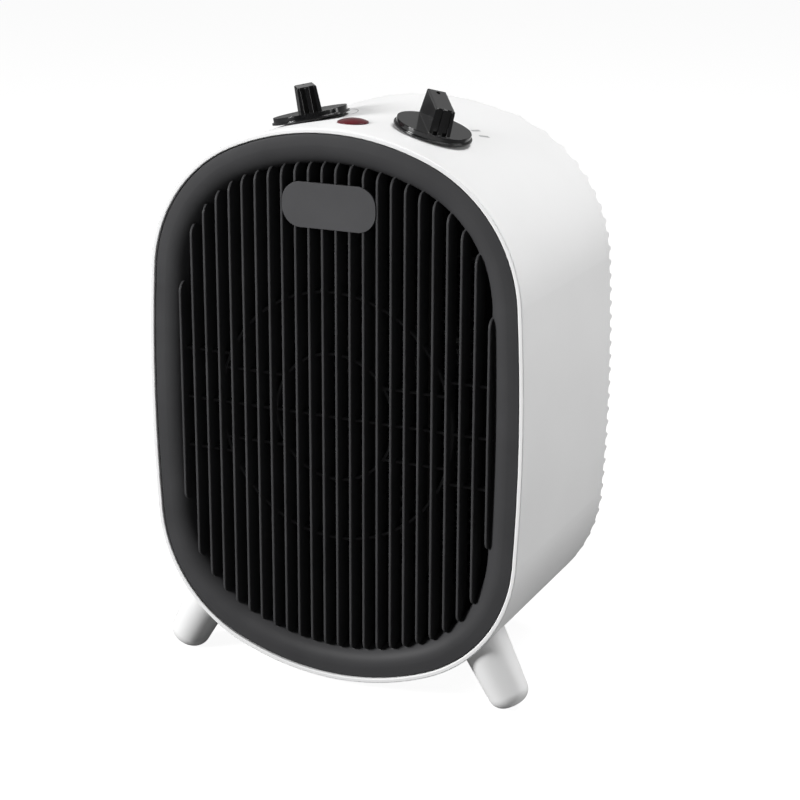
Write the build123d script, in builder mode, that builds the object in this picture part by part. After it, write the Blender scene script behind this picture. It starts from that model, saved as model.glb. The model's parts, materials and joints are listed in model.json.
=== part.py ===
from build123d import *
import os
from math import asin, atan2, ceil, cos, degrees, hypot, radians, sin, sqrt, tan

os.makedirs("parts", exist_ok=True)

# Body outline seen from the front: an oval of eight tangent arcs
body_width = 200.0
body_height = 277.0
side_radius = 968.0
crown_radius = 133.0
corner_radius = 75.5
ground_gap = 3.0

# Body shell, a tube open at both ends
tube_length = 116.0
shell_wall = 2.3
lip_round = 0.6
ledge_depth = 11.0
ledge_thickness = 3.0
ledge_inset = 10.0

# Front grille: a dished bezel ring with upright slats across its opening
bezel_gap = 0.4
bezel_edge_depth = 1.0
bezel_crest_depth = 0.5
bezel_crest_width = 5.5
dish_width = 14.8
dish_depth = 7.2
slat_count = 24
slat_pitch = 7.13
slat_thickness = 1.2
slat_front = 0.5
slat_end_round = 5.0
slat_inset = 16.3
slat_sink = 1.0
tie_front = 5.2
tie_width = 1.4
tie_depth = 3.0
outer_ring_radius = 62.1
inner_ring_radius = 31.6
outer_bar_height = 25.3
inner_bar_height = 17.9

# Badge plate let into the slats
badge_width = 48.8
badge_height = 21.7
badge_corner = 9.4
badge_thickness = 1.4
badge_proud = 0.4
badge_gap = 0.1
badge_height_above_centre = 101.8

# Rear cover with level ribs and air slots
cover_rim = 4.0
rib_height = 2.6
rib_pitch = 7.05
rib_foot = 4.0
rib_crest = 1.2
cover_gap = 0.3
spigot_wall = 2.0
spigot_depth = 6.0
intake_inset = 17.0
intake_half_height = 92.0
intake_bar_width = 6.0
intake_bar_spacing = 44.0
intake_least_slot = 9.0

# Cord gland, low on the rear cover
gland_drop = 112.0
gland_boss_radius = 10.0
gland_flange_radius = 8.0
gland_flange_thickness = 1.8
gland_body_radius = 5.4
gland_bore_radius = 3.6
gland_length = 12.0
gland_gap = 0.15

# Screws, bosses and holes
screw_radius = 1.5
screw_head_radius = 3.0
screw_head_height = 2.2
screw_slot = 0.8
screw_slot_depth = 0.9
pilot_gap = 0.05
hole_gap = 0.25
boss_radius = 5.0
boss_setback = 4.0
column_height = 45.0
cover_boss_height = 60.0
cover_boss_length = 18.0
cover_pillar = 8.5
cover_screw_land = 4.5
cover_screw_length = 16.0
grille_screw_height = 90.0
grille_screw_setback = 4.2
grille_screw_length = 8.0

# Front feet, leaning outward
foot_depth = 15.0
foot_clock = 44.0
foot_lean = 28.5
foot_root = 12.0
foot_root_radius = 12.7
foot_taper = 3.6
foot_tip_round = 7.0
foot_flat = 0.6
foot_seat_gap = 0.05
foot_screw_back = 5.0
foot_screw_land = 7.0
foot_screw_length = 20.0

# Rear foot, a rubber skid with two push-in stems
skid_width = 64.0
skid_length = 16.0
skid_corner = 5.0
skid_to_rear = 20.0
stem_spacing = 36.0
stem_radius = 3.0
stem_gap = 0.15
stem_bulb_radius = 3.9
stem_bulb_height = 3.0

# Knobs on the crown, a little to the right of the middle
knob_shift = 3.8
knob_offset = 32.0
knob_depth = 38.5
knob_radius = 18.2
knob_gap = 0.5
knob_skirt = 0.9
knob_skirt_lip = 0.9
knob_disc = 2.4
grip_width = 10.2
grip_top_width = 9.2
grip_front = 16.0
grip_front_height = 12.4
grip_front_draft = 0.8
grip_back = 17.0
grip_back_height = 12.8
grip_back_draft = 2.0
grip_round = 0.8
flute_width = 2.3
flute_depth = 1.8
flute_spacing = 4.3
knob_hollow_radius = 9.0
knob_hollow_depth = 2.4
pointer_width = 1.8
pointer_length = 4.0
pointer_depth = 0.8
pointer_from_end = 4.5
thermostat_pointer_turn = 31.0
mode_pointer_turn = 33.0

# Thermostat and rotary switch under the crown
control_width = 28.0
control_height = 15.0
control_corner = 3.0
control_pad_radius = 10.0
control_pad = 2.0
neck_radius = 4.5
neck_rise = 2.2
neck_gap = 0.2
nut_radius = 7.0
nut_height = 2.0
nut_seat = 0.6
nut_gap = 0.5
stem_shaft_radius = 3.0
shaft_running_gap = 0.05
shaft_press_gap = 0.02
shaft_sink = 8.0
shaft_end_gap = 0.5
shaft_grip_depth = 9.0

# Indicator lens and its holder
lens_shift = 2.0
lens_depth = 22.5
lens_radius = 7.4
lens_edge = 0.9
lens_dome = 1.6
lens_seat = 0.5
lens_gap = 0.2
lens_stem_radius = 5.6
lens_stem_length = 8.0
holder_radius = 8.0
holder_pad = 1.2
holder_length = 9.0
holder_floor = 2.0

# Ceramic heater block behind the grille
heater_width = 150.0
heater_height = 176.0
heater_thickness = 22.3
heater_gap = 2.9
heater_flange = 1.5
heater_flange_inset = 13.0
heater_ear_reach = 4.5
heater_ear_height = 70.0
heater_ear_length = 12.0
heater_screw_length = 18.0
core_setback = 6.4
heater_frame_wall = 6.0
heater_corner = 4.0
bar_count = 4
bar_thickness = 5.0
core_depth = 14.0
fin_period = 5.6
fin_sheet = 0.5
terminal_spacing = 22.0
terminal_width = 6.3
terminal_thickness = 0.8
terminal_length = 10.0
terminal_count = 3
cutout_radius = 8.0
cutout_height = 8.0
cutout_flange_radius = 10.0
cutout_flange = 1.2
cutout_flange_width = 16.0
cutout_setback = 12.0

# Fan duct: a bulkhead with a square collar in front and a round duct behind
plenum_depth = 8.0
collar_wall = 2.5
collar_setback = 1.0
bulkhead = 3.0
bulkhead_gap = 0.5
bulkhead_top = 98.0
duct_radius = 67.0
duct_wall = 2.0
duct_length = 26.0
fan_drop = 2.5

# Motor bracket, motor and fan
arm_count = 3
arm_width = 12.0
arm_thickness = 3.0
bracket_hub_radius = 22.0
arm_boss_reach = 4.5
motor_radius = 21.0
motor_length = 28.0
motor_round = 3.0
motor_nose_radius = 6.5
motor_nose_length = 5.0
nose_gap = 0.3
motor_screw_circle = 14.0
motor_screw_length = 10.0
bush_radius = 4.0
bush_length = 5.0
bush_gap = 0.03
shaft_radius = 1.5
shaft_tail = 3.0
fan_radius = 63.5
fan_hub_radius = 17.0
fan_hub_length = 20.0
fan_hub_wall = 2.2
fan_boss_radius = 5.0
fan_to_bracket = 5.0
blade_count = 5
blade_sheet = 1.8
blade_root_chord = 24.0
blade_root_pitch = 42.0
blade_tip_chord = 44.0
blade_tip_pitch = 22.0

# Terminal block and tip-over switch low on the bulkhead
service_drop = 116.0
service_offset = 28.0
terminal_block_width = 34.0
terminal_block_height = 14.0
terminal_block_depth = 16.0
block_screw_pitch = 10.0
block_screw_count = 3
tip_switch_width = 26.0
tip_switch_height = 20.0
tip_switch_depth = 18.0
service_corner = 2.0

# Places worked out from the sizes above, in depths behind the front rim
half_width = body_width / 2
half_height = body_height / 2
overall_depth = tube_length + cover_rim + rib_height
front_y = -overall_depth / 2
centre_z = ground_gap + half_height
bezel_inset = shell_wall + bezel_gap
column_start = ledge_depth + ledge_thickness
heater_depth = ledge_depth + heater_gap
heater_back = heater_depth + heater_thickness
bulkhead_depth = heater_back + plenum_depth
bulkhead_back = bulkhead_depth + bulkhead
duct_back = bulkhead_back + duct_length
bracket_back = duct_back + arm_thickness
motor_back = bracket_back + motor_length
fan_back = duct_back - fan_to_bracket
cover_back = tube_length + cover_rim
rib_back = cover_back + rib_height
boss_inset = shell_wall + boss_setback

# The corner arc touches the side arc inside and the crown arc inside
side_centre = half_width - side_radius
crown_centre = half_height - crown_radius


def corner_arc_centre():
    side_reach = side_radius - corner_radius
    crown_reach = crown_radius - corner_radius
    span = hypot(side_centre, crown_centre)
    along = (side_reach**2 - crown_reach**2 + span**2) / (2 * span)
    across = sqrt(side_reach**2 - along**2)
    ux = -side_centre / span
    uz = crown_centre / span
    return side_centre + along * ux - across * uz, along * uz + across * ux


corner_x, corner_z = corner_arc_centre()
side_turn = degrees(atan2(corner_z, corner_x - side_centre))
crown_turn = degrees(atan2(corner_z - crown_centre, corner_x))


def station(depth):
    """Upright plane at a depth behind the front rim, facing the front, so minus extrudes rearward."""
    return Plane(origin=(0, front_y + depth, centre_z), x_dir=(1, 0, 0), z_dir=(0, -1, 0))


def oval_arcs(inset):
    """Centre, radius, start angle and sweep of the arcs of the body outline moved inward."""
    corner_turn = crown_turn - side_turn
    crown_sweep = 180 - 2 * crown_turn
    side = side_radius - inset
    crown = crown_radius - inset
    corner = corner_radius - inset
    return [
        ((side_centre, 0), side, -side_turn, 2 * side_turn),
        ((corner_x, corner_z), corner, side_turn, corner_turn),
        ((0, crown_centre), crown, crown_turn, crown_sweep),
        ((-corner_x, corner_z), corner, 180 - crown_turn, corner_turn),
        ((-side_centre, 0), side, 180 - side_turn, 2 * side_turn),
        ((-corner_x, -corner_z), corner, 180 + side_turn, corner_turn),
        ((0, -crown_centre), crown, 180 + crown_turn, crown_sweep),
        ((corner_x, -corner_z), corner, 360 - crown_turn, corner_turn),
    ]


def oval(inset):
    """Flat face inside the body outline moved inward."""
    with BuildSketch() as shape:
        with BuildLine():
            for centre, radius, start, turn in oval_arcs(inset):
                CenterArc(centre, radius, start, turn)
        make_face()
    return shape.sketch


def oval_height(x, inset):
    """Half height of the inset outline at a distance x from the middle."""
    reach = abs(x)
    crown_join = (crown_radius - inset) * cos(radians(crown_turn))
    side_join = corner_x + (corner_radius - inset) * cos(radians(side_turn))
    if reach <= crown_join:
        return crown_centre + sqrt((crown_radius - inset)**2 - reach**2)
    if reach <= side_join:
        return corner_z + sqrt((corner_radius - inset)**2 - (reach - corner_x)**2)
    return sqrt((side_radius - inset)**2 - (reach - side_centre)**2)


def oval_span(z, inset):
    """Half width of the inset outline at a height z from the middle."""
    rise = abs(z)
    side_join = (side_radius - inset) * sin(radians(side_turn))
    crown_join = crown_centre + (crown_radius - inset) * sin(radians(crown_turn))
    if rise <= side_join:
        return side_centre + sqrt((side_radius - inset)**2 - rise**2)
    if rise <= crown_join:
        return corner_x + sqrt((corner_radius - inset)**2 - (rise - corner_z)**2)
    return sqrt((crown_radius - inset)**2 - (rise - crown_centre)**2)


def four_points(height, inset):
    """Mirrored points on the inset outline at plus and minus a height."""
    x = oval_span(height, inset)
    return [(x, height), (-x, height), (-x, -height), (x, -height)]


def crown_seat(x, depth):
    """Plane on the crown's outer face with its normal pointing out of the body."""
    lean = asin(x / crown_radius)
    rise = centre_z + crown_centre + crown_radius * cos(lean)
    across = (cos(lean), 0, -sin(lean))
    outward = (sin(lean), 0, cos(lean))
    return Plane(origin=(x, front_y + depth, rise), x_dir=across, z_dir=outward)


def foot_seat(side, back, along):
    """Plane square to a front foot's axis, with its normal pointing to the tip."""
    lean = radians(foot_lean)
    clock = radians(foot_clock)
    x = side * (corner_x + corner_radius * cos(clock) + along * sin(lean))
    z = centre_z - corner_z - corner_radius * sin(clock) - along * cos(lean)
    toward_tip = (side * sin(lean), 0, -cos(lean))
    return Plane(origin=(x, front_y + foot_depth + back, z), x_dir=(0, 1, 0), z_dir=toward_tip)


def screw_planes(points, depth):
    """Planes for screws driven from behind: the heads point rearward."""
    places = []
    for x, z in points:
        places.append(Plane(origin=(x, front_y + depth, centre_z + z), x_dir=(1, 0, 0), z_dir=(0, 1, 0)))
    return places


def write(piece, name):
    piece.label = name
    export_step(piece, "parts/" + name + ".step")


def write_screws(name, planes, length):
    """A set of like screws as separate solids, each with its head on its plane."""
    with BuildPart() as screws:
        for seat in planes:
            with BuildSketch(seat):
                Circle(screw_head_radius)
            extrude(amount=screw_head_height)
            with BuildSketch(seat):
                Circle(screw_radius)
            extrude(amount=-length)
            with BuildSketch(seat.offset(screw_head_height)):
                Rectangle(2 * screw_head_radius, screw_slot)
            extrude(amount=-screw_slot_depth, mode=Mode.SUBTRACT)
    write(screws.part, name)


column_points = four_points(column_height, boss_inset)
cover_boss_points = four_points(cover_boss_height, boss_inset)
grille_screw_points = four_points(grille_screw_height, shell_wall + grille_screw_setback)
control_seats = {
    "thermostat": crown_seat(knob_shift - knob_offset, knob_depth),
    "switch": crown_seat(knob_shift + knob_offset, knob_depth),
}
lens_place = crown_seat(lens_shift, lens_depth)
skid_depth = tube_length - skid_to_rear
stem_points = [(-stem_spacing / 2, front_y + skid_depth), (stem_spacing / 2, front_y + skid_depth)]
cover_boss_back = tube_length - cover_pillar

# Bosses that carry the feet screws and seats for the controls, trimmed inside the wall
with BuildPart() as inner_pads:
    for side in (-1, 1):
        with BuildSketch(foot_seat(side, foot_screw_back, -foot_screw_land)):
            Circle(boss_radius)
        extrude(amount=2 * foot_screw_land)
    for seat in control_seats.values():
        with BuildSketch(seat.offset(-shell_wall - control_pad)):
            Circle(control_pad_radius)
        extrude(amount=control_pad + shell_wall / 2)
    with BuildSketch(lens_place.offset(-shell_wall - holder_pad)):
        Circle(holder_radius)
    extrude(amount=holder_pad + shell_wall / 2)
    with BuildSketch(station(0)):
        add(oval(shell_wall / 2))
    extrude(amount=-tube_length, mode=Mode.INTERSECT)

with BuildPart() as body_shell:
    with BuildSketch(station(0)):
        add(oval(0))
        add(oval(shell_wall), mode=Mode.SUBTRACT)
    extrude(amount=-tube_length)
    fillet(body_shell.faces().sort_by(Axis.Y)[0].edges(), lip_round)
    with BuildSketch(station(ledge_depth)):
        add(oval(shell_wall / 2))
        add(oval(ledge_inset), mode=Mode.SUBTRACT)
    extrude(amount=-ledge_thickness)
    with BuildSketch(station(column_start)):
        with Locations(*column_points):
            Circle(boss_radius)
        add(oval(shell_wall / 2), mode=Mode.INTERSECT)
    extrude(amount=column_start - bulkhead_depth)
    with BuildSketch(station(cover_boss_back)):
        with Locations(*cover_boss_points):
            Circle(boss_radius)
        add(oval(shell_wall / 2), mode=Mode.INTERSECT)
    extrude(amount=cover_boss_length)
    add(inner_pads.part)
    # Holes for the screws, pilots where the thread cuts and clear holes where it passes
    with BuildSketch(station(bulkhead_depth)):
        with Locations(*column_points):
            Circle(screw_radius + pilot_gap)
    extrude(amount=bulkhead_depth - column_start, mode=Mode.SUBTRACT)
    with BuildSketch(station(cover_boss_back)):
        with Locations(*cover_boss_points):
            Circle(screw_radius + pilot_gap)
    extrude(amount=cover_boss_length, mode=Mode.SUBTRACT)
    with BuildSketch(station(ledge_depth)):
        with Locations(*grille_screw_points):
            Circle(screw_radius + hole_gap)
    extrude(amount=-ledge_thickness, mode=Mode.SUBTRACT)
    for side in (-1, 1):
        with BuildSketch(foot_seat(side, foot_screw_back, -foot_screw_land)):
            Circle(screw_radius + hole_gap)
        extrude(amount=2 * foot_screw_land, mode=Mode.SUBTRACT)
    # Holes and flat seats for the controls and the lens
    for seat in control_seats.values():
        with BuildSketch(seat.offset(-nut_seat)):
            Circle(nut_radius + nut_gap)
        extrude(amount=nut_seat + nut_height, mode=Mode.SUBTRACT)
        with BuildSketch(seat):
            Circle(neck_radius + neck_gap)
        extrude(amount=-shell_wall - control_pad, mode=Mode.SUBTRACT)
    with BuildSketch(lens_place.offset(-lens_seat)):
        Circle(lens_radius + lens_gap)
    extrude(amount=lens_seat + lens_dome, mode=Mode.SUBTRACT)
    with BuildSketch(lens_place):
        Circle(lens_stem_radius + lens_gap)
    extrude(amount=-shell_wall - holder_pad, mode=Mode.SUBTRACT)
    with BuildSketch(Plane.XY.offset(ground_gap)):
        with Locations(*stem_points):
            Circle(stem_radius + stem_gap)
    extrude(amount=half_height / 2, mode=Mode.SUBTRACT)
write(body_shell.part, "body_shell")

slat_places = []
for place in range(slat_count):
    slat_places.append((place - (slat_count - 1) / 2) * slat_pitch)
badge_sink = badge_thickness - badge_proud

with BuildPart() as front_grille:
    for (arc_x, arc_z), radius, start, turn in oval_arcs(bezel_inset):
        out_x = cos(radians(start))
        out_z = sin(radians(start))
        edge = (arc_x + radius * out_x, front_y, centre_z + arc_z + radius * out_z)
        with BuildSketch(Plane(origin=edge, x_dir=(-out_x, 0, -out_z), z_dir=(out_z, 0, -out_x))):
            with BuildLine():
                crest = (bezel_crest_width, bezel_crest_depth)
                dish_end = (dish_width, bezel_crest_depth + dish_depth)
                TangentArc(crest, (0, bezel_edge_depth), tangent=(-1, 0))
                Line((0, bezel_edge_depth), (0, ledge_depth))
                Line((0, ledge_depth), (dish_width, ledge_depth))
                Line((dish_width, ledge_depth), dish_end)
                TangentArc(crest, dish_end, tangent=(1, 0))
            make_face()
        revolve(axis=Axis((arc_x, front_y, centre_z + arc_z), (0, -1, 0)), revolution_arc=turn)
    # Each slat is flush in front and its ends curve back into the wall of the dish
    for slat_x in slat_places:
        end_z = oval_height(slat_x, slat_inset)
        root_z = oval_height(abs(slat_x) - slat_thickness / 2, slat_inset - slat_sink)
        bend = slat_front + slat_end_round
        low = end_z - slat_end_round
        with BuildSketch(Plane(origin=(slat_x, front_y, centre_z), x_dir=(0, 1, 0), z_dir=(1, 0, 0))):
            with BuildLine():
                Line((slat_front, -low), (slat_front, low))
                TangentArc((slat_front, low), (bend, end_z), tangent=(0, 1))
                Polyline((bend, end_z), (bend, root_z), (ledge_depth, root_z),
                         (ledge_depth, -root_z), (bend, -root_z), (bend, -end_z))
                TangentArc((slat_front, -low), (bend, -end_z), tangent=(0, -1))
            make_face()
        extrude(amount=slat_thickness / 2, both=True)
    # Rings and bars that tie the slats together
    with BuildSketch(station(tie_front)):
        with Locations((0, -fan_drop)):
            for ring_radius in (outer_ring_radius, inner_ring_radius):
                Circle(ring_radius + tie_width / 2)
                Circle(ring_radius - tie_width / 2, mode=Mode.SUBTRACT)
        with Locations((0, -fan_drop)):
            Rectangle(2 * oval_span(fan_drop, slat_inset - slat_sink), tie_width)
        for rise in (-1, 1):
            outer_start = sqrt(outer_ring_radius**2 - outer_bar_height**2)
            outer_end = oval_span(outer_bar_height + fan_drop, slat_inset - slat_sink)
            inner_start = sqrt(inner_ring_radius**2 - inner_bar_height**2)
            inner_end = sqrt(outer_ring_radius**2 - inner_bar_height**2)
            for side in (-1, 1):
                with Locations((side * (outer_start + outer_end) / 2, rise * outer_bar_height - fan_drop)):
                    Rectangle(outer_end - outer_start, tie_width)
                with Locations((side * (inner_start + inner_end) / 2, rise * inner_bar_height - fan_drop)):
                    Rectangle(inner_end - inner_start, tie_width)
    extrude(amount=-tie_depth)
    with BuildSketch(station(slat_front)):
        with Locations((0, badge_height_above_centre)):
            pocket_width = badge_width + 2 * badge_gap
            pocket_height = badge_height + 2 * badge_gap
            RectangleRounded(pocket_width, pocket_height, badge_corner + badge_gap)
    extrude(amount=-badge_sink, mode=Mode.SUBTRACT)
    with BuildSketch(station(ledge_depth)):
        with Locations(*grille_screw_points):
            Circle(screw_radius + pilot_gap)
    extrude(amount=grille_screw_length - ledge_thickness, mode=Mode.SUBTRACT)
write(front_grille.part, "front_grille")
grille_screw_planes = screw_planes(grille_screw_points, column_start)
write_screws("grille_screws", grille_screw_planes, grille_screw_length - pilot_gap)

with BuildPart() as badge_plate:
    with BuildSketch(station(slat_front + badge_sink)):
        with Locations((0, badge_height_above_centre)):
            RectangleRounded(badge_width, badge_height, badge_corner)
    extrude(amount=badge_thickness)
write(badge_plate.part, "badge_plate")

rib_count = ceil(half_height / rib_pitch)
rear_plane = station(tube_length)
with BuildPart() as rear_cover:
    back_y = front_y + cover_back
    with BuildSketch(Plane.YZ):
        with BuildLine():
            low = centre_z - half_height
            high = centre_z + half_height
            saw = [(front_y + tube_length, high), (front_y + tube_length, low), (back_y, low)]
            for place in range(-rib_count, rib_count):
                rib_z = centre_z + (place + 0.5) * rib_pitch
                if abs(rib_z - centre_z) < half_height - rib_foot:
                    saw.append((back_y, rib_z - rib_foot / 2))
                    saw.append((back_y + rib_height, rib_z - rib_crest / 2))
                    saw.append((back_y + rib_height, rib_z + rib_crest / 2))
                    saw.append((back_y, rib_z + rib_foot / 2))
            Polyline(*saw, (back_y, high), close=True)
        make_face()
    extrude(amount=half_width, both=True)
    with BuildSketch(rear_plane):
        add(oval(0))
    extrude(amount=tube_length - rib_back, mode=Mode.INTERSECT)
    # Spigot inside the tube and the pillars that meet the shell's bosses
    with BuildSketch(rear_plane):
        add(oval(shell_wall + cover_gap))
        add(oval(shell_wall + cover_gap + spigot_wall), mode=Mode.SUBTRACT)
    extrude(amount=spigot_depth)
    with BuildSketch(rear_plane):
        with Locations(*cover_boss_points):
            Circle(boss_radius)
        add(oval(shell_wall + cover_gap), mode=Mode.INTERSECT)
    extrude(amount=cover_pillar)
    with BuildSketch(rear_plane):
        with Locations((0, -gland_drop)):
            Circle(gland_boss_radius)
    extrude(amount=tube_length - rib_back)
    # Air slots between the ribs, parted by upright bars
    with BuildSketch(rear_plane):
        for place in range(-rib_count, rib_count):
            row_z = place * rib_pitch
            if abs(row_z) < intake_half_height:
                reach = oval_span(row_z, intake_inset)
                for near in (0, intake_bar_spacing):
                    start = near + intake_bar_width / 2
                    end = reach
                    if near == 0:
                        end = min(reach, intake_bar_spacing - intake_bar_width / 2)
                    if end - start > intake_least_slot:
                        for side in (-1, 1):
                            with Locations((side * (start + end) / 2, row_z)):
                                Rectangle(end - start, rib_pitch - rib_foot)
    extrude(amount=-cover_rim, mode=Mode.SUBTRACT)
    with BuildSketch(station(cover_boss_back)):
        with Locations(*cover_boss_points):
            Circle(screw_radius + hole_gap)
    extrude(amount=cover_boss_back - rib_back, mode=Mode.SUBTRACT)
    with BuildSketch(station(cover_boss_back + cover_screw_land)):
        with Locations(*cover_boss_points):
            Circle(screw_head_radius + hole_gap)
    extrude(amount=cover_boss_back + cover_screw_land - rib_back, mode=Mode.SUBTRACT)
    with BuildSketch(rear_plane):
        with Locations((0, -gland_drop)):
            Circle(gland_body_radius + gland_gap)
    extrude(amount=tube_length - rib_back, mode=Mode.SUBTRACT)
    with BuildSketch(station(rib_back - gland_flange_thickness)):
        with Locations((0, -gland_drop)):
            Circle(gland_flange_radius + gland_gap)
    extrude(amount=-gland_flange_thickness, mode=Mode.SUBTRACT)
write(rear_cover.part, "rear_cover")
cover_screw_planes = screw_planes(cover_boss_points, cover_boss_back + cover_screw_land)
write_screws("rear_cover_screws", cover_screw_planes, cover_screw_length)

with BuildPart() as cord_gland:
    with BuildSketch(station(rib_back)):
        with Locations((0, -gland_drop)):
            Circle(gland_flange_radius)
    extrude(amount=gland_flange_thickness)
    with BuildSketch(station(rib_back)):
        with Locations((0, -gland_drop)):
            Circle(gland_body_radius)
    extrude(amount=gland_length)
    with BuildSketch(station(rib_back)):
        with Locations((0, -gland_drop)):
            Circle(gland_bore_radius)
    extrude(amount=gland_length, mode=Mode.SUBTRACT)
write(cord_gland.part, "cord_gland")


def front_foot(side):
    """One leaning foot, hollowed to the body's corner and cut flat where it stands."""
    lean = radians(foot_lean)
    base_z = foot_seat(side, 0, 0).origin.Z
    tip_radius = foot_root_radius
    length = 0.0
    for _ in range(4):
        tip_radius = foot_root_radius - (foot_root + length) * tan(radians(foot_taper))
        drop = (tip_radius - foot_tip_round) * sin(lean) + foot_tip_round
        length = foot_tip_round + (base_z - drop + foot_flat) / cos(lean)
    with BuildPart() as foot:
        with BuildSketch(foot_seat(side, 0, -foot_root)):
            Circle(foot_root_radius)
        extrude(amount=foot_root + length, taper=foot_taper)
        tip = Axis(foot_seat(side, 0, 0).origin, foot_seat(side, 0, 0).z_dir)
        fillet(foot.faces().sort_by(tip)[-1].edges(), foot_tip_round)
        with BuildSketch(station(0)):
            add(oval(-foot_seat_gap))
        extrude(amount=-tube_length, mode=Mode.SUBTRACT)
        with BuildSketch(foot_seat(side, foot_screw_back, -foot_screw_land)):
            Circle(screw_radius + pilot_gap)
        extrude(amount=foot_screw_length, mode=Mode.SUBTRACT)
        split(bisect_by=Plane.XY)
    return foot.part


write(front_foot(-1), "front_foot_left")
write(front_foot(1), "front_foot_right")
foot_screw_planes = []
for side in (-1, 1):
    inward = foot_seat(side, foot_screw_back, -foot_screw_land)
    foot_screw_planes.append(Plane(origin=inward.origin, x_dir=inward.x_dir, z_dir=-inward.z_dir))
write_screws("front_foot_screws", foot_screw_planes, foot_screw_length - pilot_gap)

with BuildPart() as rear_foot:
    with BuildSketch(Plane.XY):
        with Locations((0, front_y + skid_depth)):
            RectangleRounded(skid_width, skid_length, skid_corner)
    extrude(amount=half_height / 2)
    with BuildSketch(station(0)):
        add(oval(-foot_seat_gap))
    extrude(amount=-tube_length, mode=Mode.SUBTRACT)
    stem_wall = centre_z - oval_height(stem_spacing / 2, 0)
    stem_top = centre_z - oval_height(stem_spacing / 2 + stem_bulb_radius, shell_wall)
    with BuildSketch(Plane.XY.offset(stem_wall - foot_seat_gap)):
        with Locations(*stem_points):
            Circle(stem_radius)
    extrude(amount=stem_top - stem_wall + 2 * foot_seat_gap)
    with BuildSketch(Plane.XY.offset(stem_top + foot_seat_gap)):
        with Locations(*stem_points):
            Circle(stem_bulb_radius)
    extrude(amount=stem_bulb_height)
write(rear_foot.part, "rear_foot")

knob_top = knob_gap + knob_skirt + knob_disc


def knob(seat, pointer_turn):
    """Round disc with a grip across it; the pointer notch is at the rear end of the grip."""
    swing = radians(pointer_turn)
    across = seat.x_dir * cos(swing) + seat.y_dir * sin(swing)
    turned = Plane(origin=seat.origin, x_dir=across, z_dir=seat.z_dir)
    # The ridge is the top of the grip, from its fluted front to the pointer
    front_top = turned.y_dir * (grip_front_draft - grip_front) + turned.z_dir * (knob_top + grip_front_height)
    back_top = turned.y_dir * (grip_back - grip_back_draft) + turned.z_dir * (knob_top + grip_back_height)
    ridge_way = back_top - front_top
    ridge_length = ridge_way.length
    ridge_middle = turned.origin + (front_top + back_top) / 2
    ridge = Plane(origin=ridge_middle, x_dir=across, z_dir=across.cross(ridge_way.normalized()))
    with BuildPart() as piece:
        with BuildSketch(turned.offset(knob_gap)):
            Circle(knob_radius + knob_skirt_lip)
        extrude(amount=knob_skirt)
        with BuildSketch(turned.offset(knob_gap + knob_skirt)):
            Circle(knob_radius)
        extrude(amount=knob_disc)
        with BuildSketch(turned.offset(knob_top)):
            with Locations((0, (grip_back - grip_front) / 2)):
                Rectangle(grip_width, grip_front + grip_back)
        with BuildSketch(ridge):
            Rectangle(grip_top_width, ridge_length)
        loft(ruled=True)
        outward = Axis(turned.origin, turned.z_dir)
        fillet(piece.faces().sort_by(outward)[-1].edges(), grip_round)
        with BuildSketch(ridge):
            with Locations((0, ridge_length / 2 - pointer_from_end)):
                SlotOverall(pointer_length, pointer_width, rotation=90)
        extrude(amount=-pointer_depth, mode=Mode.SUBTRACT)
        with BuildSketch(turned.offset(knob_top)):
            with Locations((-flute_spacing / 2, -grip_front), (flute_spacing / 2, -grip_front)):
                Rectangle(flute_width, 2 * flute_depth)
        extrude(amount=2 * grip_front_height, mode=Mode.SUBTRACT)
        with BuildSketch(turned.offset(knob_gap)):
            Circle(knob_hollow_radius)
        extrude(amount=knob_hollow_depth, mode=Mode.SUBTRACT)
        with BuildSketch(turned.offset(knob_gap)):
            Circle(stem_shaft_radius + shaft_press_gap)
        extrude(amount=knob_top - knob_gap + shaft_grip_depth, mode=Mode.SUBTRACT)
    return piece.part


def control_body(seat):
    """Housing of a thermostat or rotary switch with its neck through the crown."""
    with BuildPart() as piece:
        with BuildSketch(seat.offset(-shell_wall - control_pad)):
            RectangleRounded(control_width, control_width, control_corner)
        extrude(amount=-control_height)
        with BuildSketch(seat.offset(-shell_wall - control_pad)):
            Circle(neck_radius)
        extrude(amount=shell_wall + control_pad + neck_rise)
        with BuildSketch(seat.offset(neck_rise)):
            Circle(stem_shaft_radius + shaft_running_gap)
        extrude(amount=-neck_rise - shell_wall - control_pad - shaft_sink, mode=Mode.SUBTRACT)
    return piece.part


def control_shaft(seat):
    """Spindle from inside the housing up into the knob."""
    bottom = -shell_wall - control_pad - shaft_sink + shaft_end_gap
    with BuildPart() as piece:
        with BuildSketch(seat.offset(bottom)):
            Circle(stem_shaft_radius)
        extrude(amount=knob_top + shaft_grip_depth - shaft_end_gap - bottom)
    return piece.part


def control_nut(seat):
    """Flat hexagon nut in the round seat under the knob."""
    with BuildPart() as piece:
        with BuildSketch(seat.offset(-nut_seat)):
            RegularPolygon(nut_radius, 6)
            Circle(neck_radius + pilot_gap, mode=Mode.SUBTRACT)
        extrude(amount=nut_height)
    return piece.part


write(knob(control_seats["thermostat"], thermostat_pointer_turn), "thermostat_knob")
write(knob(control_seats["switch"], mode_pointer_turn), "mode_knob")
for control, seat in control_seats.items():
    write(control_body(seat), control + "_body")
    write(control_shaft(seat), control + "_shaft")
    write(control_nut(seat), control + "_nut")

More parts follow.
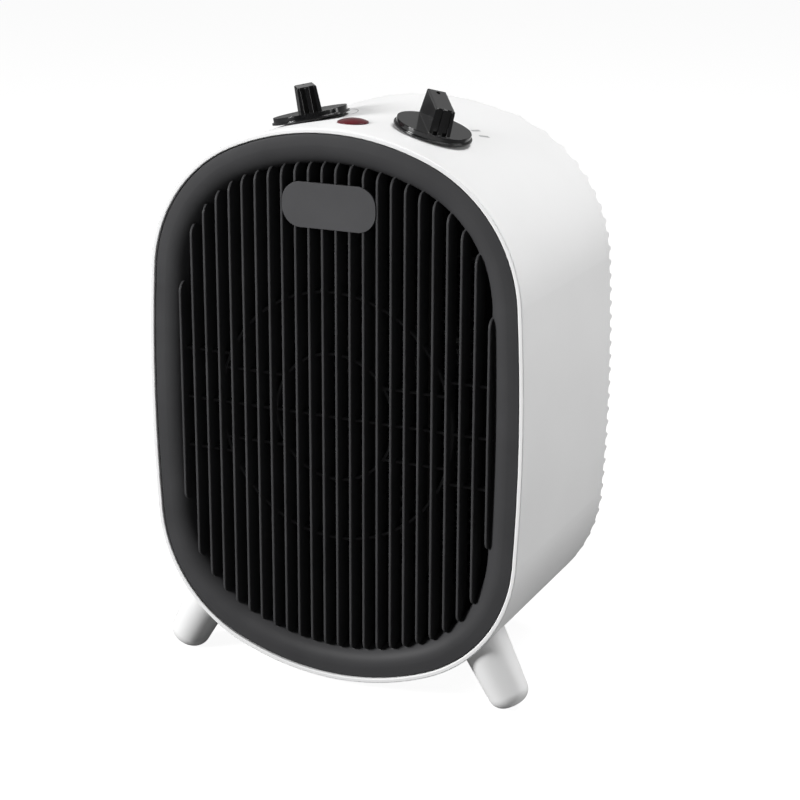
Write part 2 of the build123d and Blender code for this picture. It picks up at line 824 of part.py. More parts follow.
with BuildPart() as indicator_lens:
    with BuildSketch(Plane(origin=lens_place.origin, x_dir=lens_place.x_dir, z_dir=(0, -1, 0))):
        with BuildLine():
            lens_top = (0, lens_edge + lens_dome - lens_seat)
            lens_rim = (lens_radius, lens_edge - lens_seat)
            Line(lens_top, (0, -lens_stem_length))
            Polyline((0, -lens_stem_length), (lens_stem_radius, -lens_stem_length),
                     (lens_stem_radius, -lens_seat), (lens_radius, -lens_seat), lens_rim)
            TangentArc(lens_top, lens_rim, tangent=(1, 0))
        make_face()
    revolve(axis=Axis(lens_place.origin, lens_place.z_dir))
write(indicator_lens.part, "indicator_lens")

with BuildPart() as lamp_holder:
    with BuildSketch(lens_place.offset(-shell_wall - holder_pad)):
        Circle(holder_radius)
    extrude(amount=-holder_length)
    with BuildSketch(lens_place.offset(-shell_wall - holder_pad)):
        Circle(lens_stem_radius + lens_gap)
    extrude(amount=holder_floor - holder_length, mode=Mode.SUBTRACT)
write(lamp_holder.part, "lamp_holder")

core_width = heater_width - 2 * heater_frame_wall
core_height = heater_height - 2 * heater_frame_wall
strip_count = bar_count + 1
strip_width = (core_width - bar_count * bar_thickness) / strip_count
core_start = heater_depth + core_setback
heater_ear_x = heater_width / 2 + heater_ear_reach
heater_ear_points = []
for side in (-1, 1):
    for rise in (-1, 1):
        heater_ear_points.append((side * heater_ear_x, rise * heater_ear_height))

with BuildPart() as heater_frame:
    with BuildSketch(station(heater_depth)):
        RectangleRounded(heater_width, heater_height, heater_corner)
    extrude(amount=-heater_thickness)
    with BuildSketch(station(heater_depth)):
        add(oval(heater_flange_inset))
    extrude(amount=-heater_flange)
    with BuildSketch(station(heater_back)):
        with Locations(*heater_ear_points):
            Circle(boss_radius)
    extrude(amount=heater_ear_length)
    with BuildSketch(station(heater_depth)):
        Rectangle(core_width, core_height)
    extrude(amount=-heater_thickness, mode=Mode.SUBTRACT)
    with BuildSketch(station(heater_back)):
        with Locations(*heater_ear_points):
            Circle(screw_radius + pilot_gap)
    extrude(amount=heater_ear_length, mode=Mode.SUBTRACT)
write(heater_frame.part, "heater_frame")

for place in range(bar_count):
    bar_x = (place - (bar_count - 1) / 2) * (strip_width + bar_thickness)
    with BuildPart() as ceramic_bar:
        with BuildSketch(station(core_start)):
            with Locations((bar_x, 0)):
                Rectangle(bar_thickness, core_height)
        extrude(amount=-core_depth)
    write(ceramic_bar.part, "ceramic_bar_" + str(place + 1))


def fin_strip(strip_x):
    """Folded sheet fins between two bars: upright webs with slanting fins from side to side."""
    folds = int((core_height - 2 * fin_sheet) / fin_period)
    window = strip_width - 2 * fin_sheet
    tall = fin_period - 2 * fin_sheet
    first = -folds * fin_period / 2
    with BuildPart() as strip:
        with BuildSketch(station(core_start)):
            with Locations((strip_x, 0)):
                Rectangle(strip_width, core_height)
            left = strip_x - window / 2
            right = strip_x + window / 2
            for fold in range(folds):
                base = first + fold * fin_period + fin_sheet
                with BuildLine():
                    Polyline((left, base), (left, base + tall), (right, base + tall / 2), close=True)
                make_face(mode=Mode.SUBTRACT)
            for fold in range(folds - 1):
                base = first + fold * fin_period + fin_sheet + fin_period / 2
                with BuildLine():
                    Polyline((right, base), (right, base + tall), (left, base + tall / 2), close=True)
                make_face(mode=Mode.SUBTRACT)
        extrude(amount=-core_depth)
    return strip.part


for place in range(strip_count):
    strip_x = (place - (strip_count - 1) / 2) * (strip_width + bar_thickness)
    write(fin_strip(strip_x), "fin_strip_" + str(place + 1))

with BuildPart() as heater_terminals:
    with BuildSketch(station(core_start + (core_depth - terminal_thickness) / 2)):
        for place in range(terminal_count):
            tab_x = (place - (terminal_count - 1) / 2) * terminal_spacing
            with Locations((tab_x, -(heater_height + terminal_length) / 2)):
                Rectangle(terminal_width, terminal_length)
    extrude(amount=-terminal_thickness)
write(heater_terminals.part, "heater_terminals")

heater_middle = front_y + heater_depth + cutout_setback
with BuildPart() as thermal_cutout:
    with BuildSketch(Plane.XY.offset(centre_z + heater_height / 2)):
        with Locations((0, heater_middle)):
            SlotOverall(2 * cutout_flange_radius + cutout_radius, cutout_flange_width)
    extrude(amount=cutout_flange)
    with BuildSketch(Plane.XY.offset(centre_z + heater_height / 2 + cutout_flange)):
        with Locations((0, heater_middle)):
            Circle(cutout_radius)
    extrude(amount=cutout_height)
write(thermal_cutout.part, "thermal_cutout")


arm_boss_circle = duct_radius + duct_wall + arm_boss_reach
with BuildPart() as fan_duct:
    with BuildSketch(station(bulkhead_depth)):
        add(oval(shell_wall + bulkhead_gap))
        with Locations((0, half_height + bulkhead_top)):
            Rectangle(body_width, body_height, mode=Mode.SUBTRACT)
    extrude(amount=-bulkhead)
    with BuildSketch(station(bulkhead_depth)):
        Rectangle(heater_width - 2 * collar_setback, heater_height - 2 * collar_setback)
        Rectangle(heater_width - 2 * collar_setback - 2 * collar_wall,
                  heater_height - 2 * collar_setback - 2 * collar_wall, mode=Mode.SUBTRACT)
        with Locations(*heater_ear_points):
            Circle(boss_radius)
    extrude(amount=plenum_depth)
    with BuildSketch(station(bulkhead_back)):
        with Locations((0, -fan_drop)):
            Circle(duct_radius + duct_wall)
            with PolarLocations(arm_boss_circle, arm_count, start_angle=90):
                Circle(boss_radius)
    extrude(amount=-duct_length)
    with BuildSketch(station(bulkhead_depth)):
        with Locations((0, -fan_drop)):
            Circle(duct_radius)
    extrude(amount=bulkhead_depth - duct_back, mode=Mode.SUBTRACT)
    with BuildSketch(station(duct_back)):
        with Locations((0, -fan_drop)):
            with PolarLocations(arm_boss_circle, arm_count, start_angle=90):
                Circle(screw_radius + pilot_gap)
    extrude(amount=duct_length / 2, mode=Mode.SUBTRACT)
    with BuildSketch(station(bulkhead_depth)):
        with Locations(*column_points):
            Circle(screw_radius + hole_gap)
    extrude(amount=-bulkhead, mode=Mode.SUBTRACT)
    with BuildSketch(station(heater_back)):
        with Locations(*heater_ear_points):
            Circle(screw_radius + hole_gap)
    extrude(amount=heater_back - bulkhead_back, mode=Mode.SUBTRACT)
write(fan_duct.part, "fan_duct")
write_screws("duct_screws", screw_planes(column_points, bulkhead_back), bulkhead + duct_length / 2)
write_screws("heater_screws", screw_planes(heater_ear_points, bulkhead_back), heater_screw_length)

arm_angles = [90 + place * 360 / arm_count for place in range(arm_count)]
arm_points = []
for angle in arm_angles:
    arm_x = arm_boss_circle * cos(radians(angle))
    arm_z = arm_boss_circle * sin(radians(angle)) - fan_drop
    arm_points.append((arm_x, arm_z))
motor_screw_points = [(-motor_screw_circle, -fan_drop), (motor_screw_circle, -fan_drop)]

with BuildPart() as motor_bracket:
    with BuildSketch(station(duct_back)):
        with Locations((0, -fan_drop)):
            Circle(bracket_hub_radius)
            with PolarLocations(arm_boss_circle / 2, arm_count, start_angle=90):
                Rectangle(arm_boss_circle, arm_width)
        with Locations(*arm_points):
            Circle(arm_width / 2)
        with Locations((0, -fan_drop)):
            Circle(motor_nose_radius + nose_gap, mode=Mode.SUBTRACT)
        with Locations(*arm_points, *motor_screw_points):
            Circle(screw_radius + hole_gap, mode=Mode.SUBTRACT)
    extrude(amount=-arm_thickness)
write(motor_bracket.part, "motor_bracket")
bracket_screw_length = arm_thickness + duct_length / 2 - pilot_gap
write_screws("bracket_screws", screw_planes(arm_points, bracket_back), bracket_screw_length)

with BuildPart() as motor_body:
    with BuildSketch(station(bracket_back)):
        with Locations((0, -fan_drop)):
            Circle(motor_radius)
    extrude(amount=-motor_length)
    fillet(motor_body.faces().sort_by(Axis.Y)[-1].edges(), motor_round)
    with BuildSketch(station(bracket_back)):
        with Locations((0, -fan_drop)):
            Circle(motor_nose_radius)
    extrude(amount=motor_nose_length)
    with BuildSketch(station(bracket_back - motor_nose_length)):
        with Locations((0, -fan_drop)):
            Circle(bush_radius + bush_gap)
    extrude(amount=-bush_length, mode=Mode.SUBTRACT)
    with BuildSketch(station(motor_back)):
        with Locations((0, -fan_drop)):
            Circle(bush_radius + bush_gap)
    extrude(amount=bush_length, mode=Mode.SUBTRACT)
    with BuildSketch(station(bracket_back - motor_nose_length)):
        with Locations((0, -fan_drop)):
            Circle(shaft_radius + hole_gap)
    extrude(amount=-motor_nose_length - motor_length, mode=Mode.SUBTRACT)
    with BuildSketch(station(bracket_back)):
        with Locations(*motor_screw_points):
            Circle(screw_radius + pilot_gap)
    extrude(amount=arm_thickness - motor_screw_length, mode=Mode.SUBTRACT)
write(motor_body.part, "motor_body")
motor_screw_planes = []
for screw_x, screw_z in motor_screw_points:
    screw_place = (screw_x, front_y + duct_back, centre_z + screw_z)
    motor_screw_planes.append(station(duct_back).shift_origin(screw_place))
write_screws("motor_screws", motor_screw_planes, motor_screw_length - pilot_gap)

for name, bush_depth in (("motor_bush_front", bracket_back - motor_nose_length),
                         ("motor_bush_rear", motor_back - bush_length)):
    with BuildPart() as motor_bush:
        with BuildSketch(station(bush_depth)):
            with Locations((0, -fan_drop)):
                Circle(bush_radius)
                Circle(shaft_radius + shaft_running_gap, mode=Mode.SUBTRACT)
        extrude(amount=-bush_length)
    write(motor_bush.part, name)

fan_front = fan_back - fan_hub_length
with BuildPart() as motor_shaft:
    with BuildSketch(station(fan_front + fan_hub_wall)):
        with Locations((0, -fan_drop)):
            Circle(shaft_radius)
    extrude(amount=fan_front + fan_hub_wall - motor_back - shaft_tail)
write(motor_shaft.part, "motor_shaft")

fan_centre = Vector(0, front_y + fan_back - fan_hub_length / 2, centre_z - fan_drop)
with BuildPart() as fan_impeller:
    # Each blade is lofted from a steep root inside the hub's skin to a flatter tip
    blade_root = fan_hub_radius - fan_hub_wall
    for place in range(blade_count):
        turn = radians(90 + place * 360 / blade_count)
        out = Vector(cos(turn), 0, sin(turn))
        along = Vector(-sin(turn), 0, cos(turn))
        root = Plane(origin=fan_centre + out * blade_root, x_dir=along, z_dir=out)
        tip = Plane(origin=fan_centre + out * (fan_radius + blade_sheet), x_dir=along, z_dir=out)
        with BuildSketch(root):
            Rectangle(blade_root_chord, blade_sheet, rotation=blade_root_pitch)
        with BuildSketch(tip):
            Rectangle(blade_tip_chord, blade_sheet, rotation=blade_tip_pitch)
        loft()
    with BuildSketch(station(fan_front)):
        with Locations((0, -fan_drop)):
            Circle(fan_radius)
    extrude(amount=-fan_hub_length, mode=Mode.INTERSECT)
    with BuildSketch(station(fan_front)):
        with Locations((0, -fan_drop)):
            Circle(fan_hub_radius)
    extrude(amount=-fan_hub_length)
    with BuildSketch(station(fan_back)):
        with Locations((0, -fan_drop)):
            Circle(fan_hub_radius - fan_hub_wall)
            Circle(fan_boss_radius, mode=Mode.SUBTRACT)
    extrude(amount=fan_hub_length - fan_hub_wall, mode=Mode.SUBTRACT)
    with BuildSketch(station(fan_back)):
        with Locations((0, -fan_drop)):
            Circle(shaft_radius + shaft_press_gap)
    extrude(amount=fan_hub_length - fan_hub_wall, mode=Mode.SUBTRACT)
write(fan_impeller.part, "fan_impeller")

with BuildPart() as terminal_block:
    with BuildSketch(station(bulkhead_back)):
        with Locations((-service_offset, -service_drop)):
            RectangleRounded(terminal_block_width, terminal_block_height, service_corner)
    extrude(amount=-terminal_block_depth)
    with BuildSketch(station(bulkhead_back + terminal_block_depth)):
        for place in range(block_screw_count):
            block_screw_x = (place - (block_screw_count - 1) / 2) * block_screw_pitch - service_offset
            with Locations((block_screw_x, -service_drop)):
                Circle(screw_head_radius)
    extrude(amount=screw_head_height, mode=Mode.SUBTRACT)
write(terminal_block.part, "terminal_block")

with BuildPart() as tip_switch:
    with BuildSketch(station(bulkhead_back)):
        with Locations((service_offset, -service_drop)):
            RectangleRounded(tip_switch_width, tip_switch_height, service_corner)
    extrude(amount=-tip_switch_depth)
write(tip_switch.part, "tip_switch")
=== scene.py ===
import json
from math import asin, cos, radians, sin

import bmesh
import bpy
from mathutils import Matrix, Vector


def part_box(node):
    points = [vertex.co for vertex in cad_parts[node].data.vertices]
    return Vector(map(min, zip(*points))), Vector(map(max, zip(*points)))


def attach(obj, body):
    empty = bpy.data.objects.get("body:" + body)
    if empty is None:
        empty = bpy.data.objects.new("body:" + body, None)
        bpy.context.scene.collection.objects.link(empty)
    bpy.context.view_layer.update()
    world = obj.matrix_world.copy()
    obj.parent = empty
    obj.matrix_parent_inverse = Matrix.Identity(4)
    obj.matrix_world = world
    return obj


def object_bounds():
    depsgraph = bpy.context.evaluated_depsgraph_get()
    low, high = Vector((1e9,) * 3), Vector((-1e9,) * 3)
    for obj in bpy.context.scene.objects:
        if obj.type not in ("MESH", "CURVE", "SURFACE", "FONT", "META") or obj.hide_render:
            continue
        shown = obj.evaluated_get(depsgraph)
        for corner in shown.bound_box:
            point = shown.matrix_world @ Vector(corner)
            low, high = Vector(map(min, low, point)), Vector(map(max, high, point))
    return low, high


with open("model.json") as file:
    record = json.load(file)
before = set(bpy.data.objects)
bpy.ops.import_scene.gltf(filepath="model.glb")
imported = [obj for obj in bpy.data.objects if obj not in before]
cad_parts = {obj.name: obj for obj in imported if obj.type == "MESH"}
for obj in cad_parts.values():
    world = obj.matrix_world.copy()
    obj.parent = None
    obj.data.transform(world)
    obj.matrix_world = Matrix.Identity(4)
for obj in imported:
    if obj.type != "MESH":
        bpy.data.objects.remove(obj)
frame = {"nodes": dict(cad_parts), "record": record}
nodes = frame["nodes"]
cad_box = [list(corner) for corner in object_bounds()]

# Places on the heater, in metres, as the solids have them
front_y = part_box("body_shell")[0].y
shell_low, shell_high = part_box("body_shell")
body_centre = Vector((0, front_y, (shell_low.z + shell_high.z) / 2))
crown_radius = 0.133
crown_centre_z = shell_high.z - crown_radius
knob_depth = 0.0385
knob_y = front_y + knob_depth
thermostat_x = -0.0282
mode_x = 0.0358


# Shared effects, each one a node group

def new_group(name, inputs, outputs):
    """An empty shader node group with named sockets."""
    group = bpy.data.node_groups.new(name, "ShaderNodeTree")
    for socket, default in inputs:
        made = group.interface.new_socket(name=socket, in_out="INPUT", socket_type="NodeSocketFloat")
        made.default_value = default
    for socket, kind in outputs:
        group.interface.new_socket(name=socket, in_out="OUTPUT", socket_type=kind)
    return group, group.nodes.new("NodeGroupInput"), group.nodes.new("NodeGroupOutput")


def link(tree, start, end):
    """Join two sockets."""
    tree.links.new(start, end)


def noise_at(tree, scale_socket, detail, vector):
    """Noise at a vector, scaled by a socket."""
    noise = tree.nodes.new("ShaderNodeTexNoise")
    noise.inputs["Detail"].default_value = detail
    link(tree, vector, noise.inputs["Vector"])
    link(tree, scale_socket, noise.inputs["Scale"])
    return noise.outputs["Fac"]


def spread(tree, value, low, high):
    """The middle of a noise laid between two sockets."""
    ramp = tree.nodes.new("ShaderNodeMapRange")
    ramp.inputs["From Min"].default_value = 0.3
    ramp.inputs["From Max"].default_value = 0.7
    link(tree, value, ramp.inputs["Value"])
    link(tree, low, ramp.inputs["To Min"])
    link(tree, high, ramp.inputs["To Max"])
    return ramp.outputs["Result"]


def combine(tree, operation, first, second):
    """One arithmetic step on two sockets."""
    step = tree.nodes.new("ShaderNodeMath")
    step.operation = operation
    link(tree, first, step.inputs[0])
    link(tree, second, step.inputs[1])
    return step.outputs["Value"]


def rounded_edges(tree, radius_socket):
    """Normals that turn softly over a moulded edge, and a mask that is 1 on the edge."""
    softened = tree.nodes.new("ShaderNodeBevel")
    softened.samples = 6
    link(tree, radius_socket, softened.inputs["Radius"])
    facing = tree.nodes.new("ShaderNodeVectorMath")
    facing.operation = "DOT_PRODUCT"
    link(tree, softened.outputs["Normal"], facing.inputs[0])
    link(tree, tree.nodes.new("ShaderNodeNewGeometry").outputs["Normal"], facing.inputs[1])
    mask = tree.nodes.new("ShaderNodeMapRange")
    mask.inputs["From Min"].default_value = 1.0
    mask.inputs["From Max"].default_value = 0.75
    link(tree, facing.outputs["Value"], mask.inputs["Value"])
    return softened.outputs["Normal"], mask.outputs["Result"]


def relief(tree, height, strength_socket, distance, normal):
    """Bump on top of a given normal."""
    bump = tree.nodes.new("ShaderNodeBump")
    bump.inputs["Distance"].default_value = distance
    link(tree, strength_socket, bump.inputs["Strength"])
    link(tree, height, bump.inputs["Height"])
    link(tree, normal, bump.inputs["Normal"])
    return bump.outputs["Normal"]


grain_depth = 0.0002
line_depth = 0.0001
line_stretch = 0.04
skin_outputs = [("Tone", "NodeSocketFloat"), ("Roughness", "NodeSocketFloat"), ("Normal", "NodeSocketVector")]


def make_moulded_skin():
    """Spark-eroded mould grain, patches of gloss, a slow change of tone, and rounded edges made paler, partly
    as wear and partly as a painted highlight.
    """
    group, given, out = new_group(
        "moulded_skin",
        [("Grain Scale", 2500.0), ("Grain Height", 0.1), ("Patch Scale", 30.0),
         ("Rough Low", 0.3), ("Rough High", 0.4), ("Tone Low", 0.95), ("Tone High", 1.05),
         ("Edge Radius", 0.0004), ("Edge Tone", 0.1)],
        skin_outputs)
    give = given.outputs
    place = group.nodes.new("ShaderNodeTexCoord").outputs["Object"]
    grain = noise_at(group, give["Grain Scale"], 3.0, place)
    patch = noise_at(group, give["Patch Scale"], 4.0, place)
    normal, edge = rounded_edges(group, give["Edge Radius"])
    # Edges made paler here: partly edge wear, partly a painted highlight where rounded edges catch light.
    worn_and_lit_edge = combine(group, "MULTIPLY", edge, give["Edge Tone"])
    tone = spread(group, patch, give["Tone Low"], give["Tone High"])
    link(group, combine(group, "ADD", tone, worn_and_lit_edge), out.inputs["Tone"])
    link(group, spread(group, patch, give["Rough Low"], give["Rough High"]), out.inputs["Roughness"])
    link(group, relief(group, grain, give["Grain Height"], grain_depth, normal), out.inputs["Normal"])
    return group


def make_rolled_metal():
    """Fine upright drawn lines and dull patches, for sheet and turned metal."""
    group, given, out = new_group(
        "rolled_metal",
        [("Line Scale", 900.0), ("Line Height", 0.1), ("Patch Scale", 60.0),
         ("Rough Low", 0.25), ("Rough High", 0.45), ("Tone Low", 0.85), ("Tone High", 1.05),
         ("Edge Radius", 0.0002)],
        skin_outputs)
    give = given.outputs
    place = group.nodes.new("ShaderNodeTexCoord").outputs["Object"]
    stretch = group.nodes.new("ShaderNodeVectorMath")
    stretch.operation = "MULTIPLY"
    stretch.inputs[1].default_value = (1.0, 1.0, line_stretch)
    link(group, place, stretch.inputs[0])
    drawn = noise_at(group, give["Line Scale"], 2.0, stretch.outputs["Vector"])
    patch = noise_at(group, give["Patch Scale"], 4.0, place)
    normal = rounded_edges(group, give["Edge Radius"])[0]
    link(group, spread(group, drawn, give["Tone Low"], give["Tone High"]), out.inputs["Tone"])
    link(group, spread(group, patch, give["Rough Low"], give["Rough High"]), out.inputs["Roughness"])
    link(group, relief(group, drawn, give["Line Height"], line_depth, normal), out.inputs["Normal"])
    return group


moulded_skin = make_moulded_skin()
rolled_metal = make_rolled_metal()


def finish_with(name, group, colour, settings, metallic=0.0, gloss=0.5):
    """A material whose tone, roughness and normals come from one of the shared groups."""
    material = bpy.data.materials.new(name)
    material.use_nodes = True
    tree = material.node_tree
    shader = tree.nodes["Principled BSDF"]
    shader.inputs["Metallic"].default_value = metallic
    shader.inputs["Specular IOR Level"].default_value = gloss
    effect = tree.nodes.new("ShaderNodeGroup")
    effect.node_tree = group
    for socket, value in settings.items():
        effect.inputs[socket].default_value = value
    tint = tree.nodes.new("ShaderNodeMix")
    tint.data_type = "RGBA"
    tint.blend_type = "MULTIPLY"
    tint.inputs["Factor"].default_value = 1.0
    tint.inputs["A"].default_value = (*colour, 1.0)
    link(tree, effect.outputs["Tone"], tint.inputs["B"])
    link(tree, tint.outputs["Result"], shader.inputs["Base Color"])
    link(tree, effect.outputs["Roughness"], shader.inputs["Roughness"])
    link(tree, effect.outputs["Normal"], shader.inputs["Normal"])
    return material


# The default edge tone of 0.1 paints edges paler: partly wear, partly a painted highlight.
def skin(grain, height, patch, rough, tone, edge=(0.0004, 0.1)):
    """Settings of the moulded skin; the edge is its radius in metres and how much paler it is."""
    return {"Grain Scale": grain, "Grain Height": height, "Patch Scale": patch, "Rough Low": rough[0],
            "Rough High": rough[1], "Tone Low": tone[0], "Tone High": tone[1], "Edge Radius": edge[0],
            "Edge Tone": edge[1]}


def lines(scale, height, patch, rough, tone):
    """Settings of the rolled metal."""
    return {"Line Scale": scale, "Line Height": height, "Patch Scale": patch, "Rough Low": rough[0],
            "Rough High": rough[1], "Tone Low": tone[0], "Tone High": tone[1]}


white_shell = finish_with("white_shell", moulded_skin, (0.83, 0.83, 0.83),
                          skin(2600, 0.05, 22, (0.4, 0.48), (0.985, 1.01), edge=(0.0004, 0.0)), gloss=0.35)
grille_grey = finish_with("grille_grey", moulded_skin, (0.05, 0.05, 0.052),
                          skin(3200, 0.18, 35, (0.42, 0.52), (0.9, 1.08), edge=(0.0012, 0.0)), gloss=0.1)
badge_grey = finish_with("badge_grey", moulded_skin, (0.069, 0.069, 0.072),
                         skin(3600, 0.12, 60, (0.45, 0.55), (0.94, 1.06)), gloss=0.15)
knob_black = finish_with("knob_black", moulded_skin, (0.007, 0.007, 0.0075),
                         skin(1800, 0.03, 60, (0.08, 0.14), (0.8, 1.2), edge=(0.0005, 0.0)))
heat_plastic = finish_with("heat_plastic", moulded_skin, (0.005, 0.005, 0.0055),
                           skin(2400, 0.15, 40, (0.5, 0.65), (0.8, 1.2)), gloss=0.1)
fan_plastic = finish_with("fan_plastic", moulded_skin, (0.012, 0.012, 0.0125),
                          skin(2400, 0.1, 40, (0.4, 0.55), (0.85, 1.15)), gloss=0.2)
control_plastic = finish_with("control_plastic", moulded_skin, (0.09, 0.09, 0.09),
                              skin(2000, 0.1, 50, (0.45, 0.6), (0.9, 1.1)))
black_rubber = finish_with("black_rubber", moulded_skin, (0.014, 0.014, 0.0145),
                           skin(1500, 0.25, 50, (0.7, 0.85), (0.8, 1.25)), gloss=0.3)
ptc_ceramic = finish_with("ptc_ceramic", moulded_skin, (0.05, 0.048, 0.046),
                          skin(1200, 0.3, 80, (0.6, 0.75), (0.8, 1.15)), gloss=0.2)
lens_red = finish_with("lens_red", moulded_skin, (0.09, 0.003, 0.008),
                       skin(900, 0.05, 120, (0.12, 0.2), (0.6, 1.3)), gloss=0.3)
zinc_steel = finish_with("zinc_steel", rolled_metal, (0.55, 0.55, 0.56),
                         lines(1200, 0.1, 90, (0.25, 0.42), (0.85, 1.05)), metallic=1.0)
cutout_aluminium = finish_with("cutout_aluminium", rolled_metal, (0.7, 0.7, 0.71),
                               lines(1400, 0.1, 90, (0.3, 0.45), (0.88, 1.05)), metallic=1.0)
# The fins are near-black metal: painted shade for the dark core behind the slats, on top of a blackened
# finish.
fin_aluminium = finish_with("fin_aluminium", rolled_metal, (0.045, 0.045, 0.047),
                            lines(1600, 0.12, 140, (0.45, 0.6), (0.8, 1.05)), metallic=0.6)
motor_steel = finish_with("motor_steel", rolled_metal, (0.16, 0.16, 0.17),
                          lines(700, 0.1, 70, (0.35, 0.5), (0.85, 1.1)), metallic=0.7)
bush_bronze = finish_with("bush_bronze", rolled_metal, (0.5, 0.3, 0.12),
                          lines(900, 0.15, 120, (0.4, 0.55), (0.85, 1.1)), metallic=1.0)
print_grey = finish_with("print_grey", moulded_skin, (0.42, 0.42, 0.425),
                         skin(4000, 0.1, 400, (0.5, 0.65), (0.85, 1.15)))

finishes = {
    "white_shell": white_shell,
    "grille_grey": grille_grey,
    "badge_grey": badge_grey,
    "knob_black": knob_black,
    "heat_plastic": heat_plastic,
    "fan_plastic": fan_plastic,
    "control_plastic": control_plastic,
    "black_rubber": black_rubber,
    "ptc_ceramic": ptc_ceramic,
    "lens_red": lens_red,
    "zinc_steel": zinc_steel,
    "cutout_aluminium": cutout_aluminium,
    "fin_aluminium": fin_aluminium,
    "motor_steel": motor_steel,
    "bush_bronze": bush_bronze,
}
for subpart in frame["record"]["subparts"]:
    mesh = nodes[subpart["node"]].data
    mesh.materials.clear()
    mesh.materials.append(finishes[subpart["material_slot"]])


# Printed dial marks on the crown

print_lift = 0.00004


def crown_point(x, y):
    """A point of the print, just above the crown's outer face."""
    lean = asin(x / crown_radius)
    reach = crown_radius + print_lift
    return Vector((reach * sin(lean), y, crown_centre_z + reach * cos(lean)))


def print_mark(name, rows):
    """A thin printed patch from rows of points given in plan and laid on the crown."""
    form = bmesh.new()
    grid = [[form.verts.new(crown_point(x, y)) for x, y in row] for row in rows]
    for near, far in zip(grid, grid[1:]):
        for i in range(len(near) - 1):
            form.faces.new((near[i], near[i + 1], far[i + 1], far[i]))
    bmesh.ops.recalc_face_normals(form, faces=form.faces)
    mesh = bpy.data.meshes.new(name)
    form.to_mesh(mesh)
    form.free()
    mark = bpy.data.objects.new(name, mesh)
    bpy.context.scene.collection.objects.link(mark)
    mesh.materials.append(print_grey)
    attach(mark, "housing")


def arc_rows(centre_x, inner, outer, start, end, steps):
    """Rows for a band round a knob; angles run from the rear toward the right."""
    rows = []
    for step in range(steps + 1):
        along = step / steps
        turn = radians(start + (end - start) * step / steps)
        reaches = (inner(along), outer(along))
        rows.append([(centre_x + reach * sin(turn), knob_y + reach * cos(turn)) for reach in reaches])
    return rows


def level_band(radius):
    """A radius that stays the same along a mark."""
    return lambda along: radius


tick_turns = (17.1, 27.5)
tick_inner = 0.0288
tick_outer = 0.0349
tick_half_turn = 1.5
tick_steps = 4
for number, turn in enumerate(tick_turns):
    print_mark("mode_tick_%d" % (number + 1),
               arc_rows(mode_x, level_band(tick_inner), level_band(tick_outer),
                        turn - tick_half_turn, turn + tick_half_turn, tick_steps))

sweep_start = -60.0
sweep_bend = 20.0
sweep_end = 70.0
sweep_wide = 0.0287
sweep_narrow = 0.0196
sweep_line = 0.0006
sweep_steps = 48


def sweep_edge(along):
    """Outer edge of the thermostat's sweep, which closes on the knob at its end."""
    turn = sweep_start + (sweep_end - sweep_start) * along
    closing = max(0.0, (turn - sweep_bend) / (sweep_end - sweep_bend))
    return sweep_wide + (sweep_narrow - sweep_wide) * closing


print_mark("thermostat_sweep",
           arc_rows(thermostat_x, lambda along: sweep_edge(along) - sweep_line, sweep_edge,
                    sweep_start, sweep_end, sweep_steps))


# Floor, room, lights and camera

pure_white = (1.0, 1.0, 1.0, 1.0)
paper_grey = (0.2, 0.2, 0.2, 1.0)
paper_glow = 0.93
room_strength = 0.07
backdrop_strength = 1.0
mirrored_share = 0.3
floor_reach = 6.0


def background_rays(tree):
    """1 for the rays that show the white paper: to the camera and through clear things."""
    seen = tree.nodes.new("ShaderNodeLightPath").outputs
    return combine(tree, "MAXIMUM", seen["Is Camera Ray"], seen["Is Transmission Ray"])


def mirrored_backdrop(tree):
    """How much of the white backdrop gloss mirrors: a part of it behind the heater, none in front."""
    way = tree.nodes.new("ShaderNodeSeparateXYZ")
    link(tree, tree.nodes.new("ShaderNodeTexCoord").outputs["Generated"], way.inputs["Vector"])
    fade = tree.nodes.new("ShaderNodeMapRange")
    fade.inputs["From Min"].default_value = -0.5
    fade.inputs["From Max"].default_value = 0.0
    fade.inputs["To Max"].default_value = mirrored_share
    link(tree, way.outputs["Y"], fade.inputs["Value"])
    gloss = tree.nodes.new("ShaderNodeLightPath").outputs["Is Glossy Ray"]
    return combine(tree, "MULTIPLY", fade.outputs["Result"], gloss)


def make_paper():
    """Grey paper that takes shadows and glows white on the background rays only."""
    paper = bpy.data.materials.new("studio_paper")
    paper.use_nodes = True
    tree = paper.node_tree
    shader = tree.nodes["Principled BSDF"]
    shader.inputs["Base Color"].default_value = paper_grey
    shader.inputs["Roughness"].default_value = 0.9
    shader.inputs["Specular IOR Level"].default_value = 0.0
    glow = tree.nodes.new("ShaderNodeEmission")
    glow.inputs["Color"].default_value = pure_white
    glow.inputs["Strength"].default_value = paper_glow
    both = tree.nodes.new("ShaderNodeAddShader")
    pick = tree.nodes.new("ShaderNodeMixShader")
    link(tree, shader.outputs["BSDF"], both.inputs[0])
    link(tree, glow.outputs["Emission"], both.inputs[1])
    link(tree, background_rays(tree), pick.inputs["Fac"])
    link(tree, shader.outputs["BSDF"], pick.inputs[1])
    link(tree, both.outputs["Shader"], pick.inputs[2])
    link(tree, pick.outputs["Shader"], tree.nodes["Material Output"].inputs["Surface"])
    return paper


def make_room():
    """A dim room that is white on the background rays, and in part where gloss mirrors it."""
    world = bpy.data.worlds.new("studio")
    world.use_nodes = True
    tree = world.node_tree
    room = tree.nodes["Background"]
    room.inputs["Color"].default_value = pure_white
    room.inputs["Strength"].default_value = room_strength
    backdrop = tree.nodes.new("ShaderNodeBackground")
    backdrop.inputs["Color"].default_value = pure_white
    backdrop.inputs["Strength"].default_value = backdrop_strength
    pick = tree.nodes.new("ShaderNodeMixShader")
    link(tree, combine(tree, "MAXIMUM", background_rays(tree), mirrored_backdrop(tree)), pick.inputs["Fac"])
    link(tree, room.outputs["Background"], pick.inputs[1])
    link(tree, backdrop.outputs["Background"], pick.inputs[2])
    link(tree, pick.outputs["Shader"], tree.nodes["World Output"].inputs["Surface"])
    return world


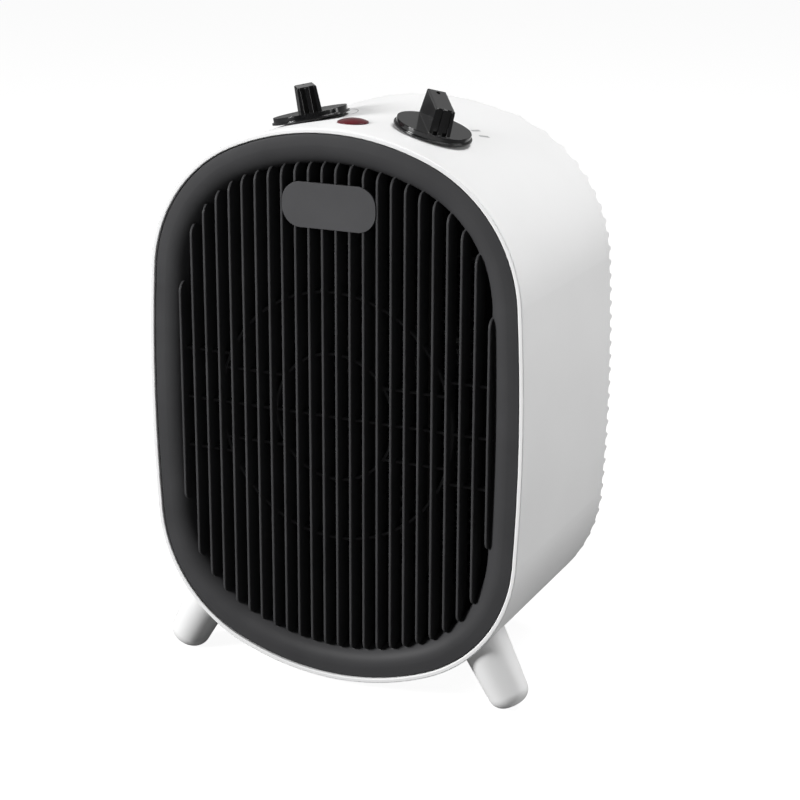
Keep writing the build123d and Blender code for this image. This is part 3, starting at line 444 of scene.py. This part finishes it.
floor_mesh = bpy.data.meshes.new("studio_floor")
floor_form = bmesh.new()
bmesh.ops.create_grid(floor_form, x_segments=2, y_segments=2, size=floor_reach)
floor_form.to_mesh(floor_mesh)
floor_form.free()
floor_mesh.materials.append(make_paper())
floor = bpy.data.objects.new("studio_floor", floor_mesh)
floor.location.z = cad_box[0][2]
bpy.context.scene.collection.objects.link(floor)

bpy.context.scene.world = make_room()

lamp_aim = Vector((0, 0, 0.15))


def softbox(name, place, size, power):
    """A square area lamp pointed at the heater."""
    lamp = bpy.data.lights.new(name, "AREA")
    lamp.shape = "SQUARE"
    lamp.size = size
    lamp.energy = power
    lamp_object = bpy.data.objects.new(name, lamp)
    lamp_object.location = place
    lamp_object.rotation_euler = (lamp_aim - Vector(place)).to_track_quat("-Z", "Y").to_euler()
    bpy.context.scene.collection.objects.link(lamp_object)


softbox("left_softbox", (-1.26, -1.36, 0.9), size=0.6, power=50.0)
softbox("right_softbox", (1.6, 0.45, 0.35), size=0.9, power=11.5)
softbox("top_softbox", (0.6, 0.37, 1.8), size=0.9, power=26.0)

# The camera stands where the fit of the body's outline in the photograph puts it;
# centre_px is the place of body_centre in the picture
view_turn = radians(24.75)
view_rise = radians(17.2)
view_roll = radians(0.25)
frame_px = 800
focal_px = 2020.0
sensor_mm = 36.0
distance = 0.9722
centre_px = (329.5, 415.25)
back = Vector((sin(view_turn) * cos(view_rise), -cos(view_turn) * cos(view_rise), sin(view_rise)))
level = Vector((cos(view_turn), sin(view_turn), 0))
rise = back.cross(level)
right = level * cos(view_roll) + rise * sin(view_roll)
up = rise * cos(view_roll) - level * sin(view_roll)
aside = (centre_px[0] - frame_px / 2) / focal_px * distance
below = -(centre_px[1] - frame_px / 2) / focal_px * distance
camera_data = bpy.data.cameras.new("photo_camera")
camera_data.sensor_width = sensor_mm
camera_data.lens = focal_px * sensor_mm / frame_px
camera = bpy.data.objects.new("photo_camera", camera_data)
stand = body_centre + back * distance - right * aside - up * below
turned = Matrix((right, up, back)).transposed().to_4x4()
camera.matrix_world = Matrix.Translation(stand) @ turned
bpy.context.scene.collection.objects.link(camera)
bpy.context.scene.camera = camera
bpy.context.scene.view_settings.view_transform = "Standard"
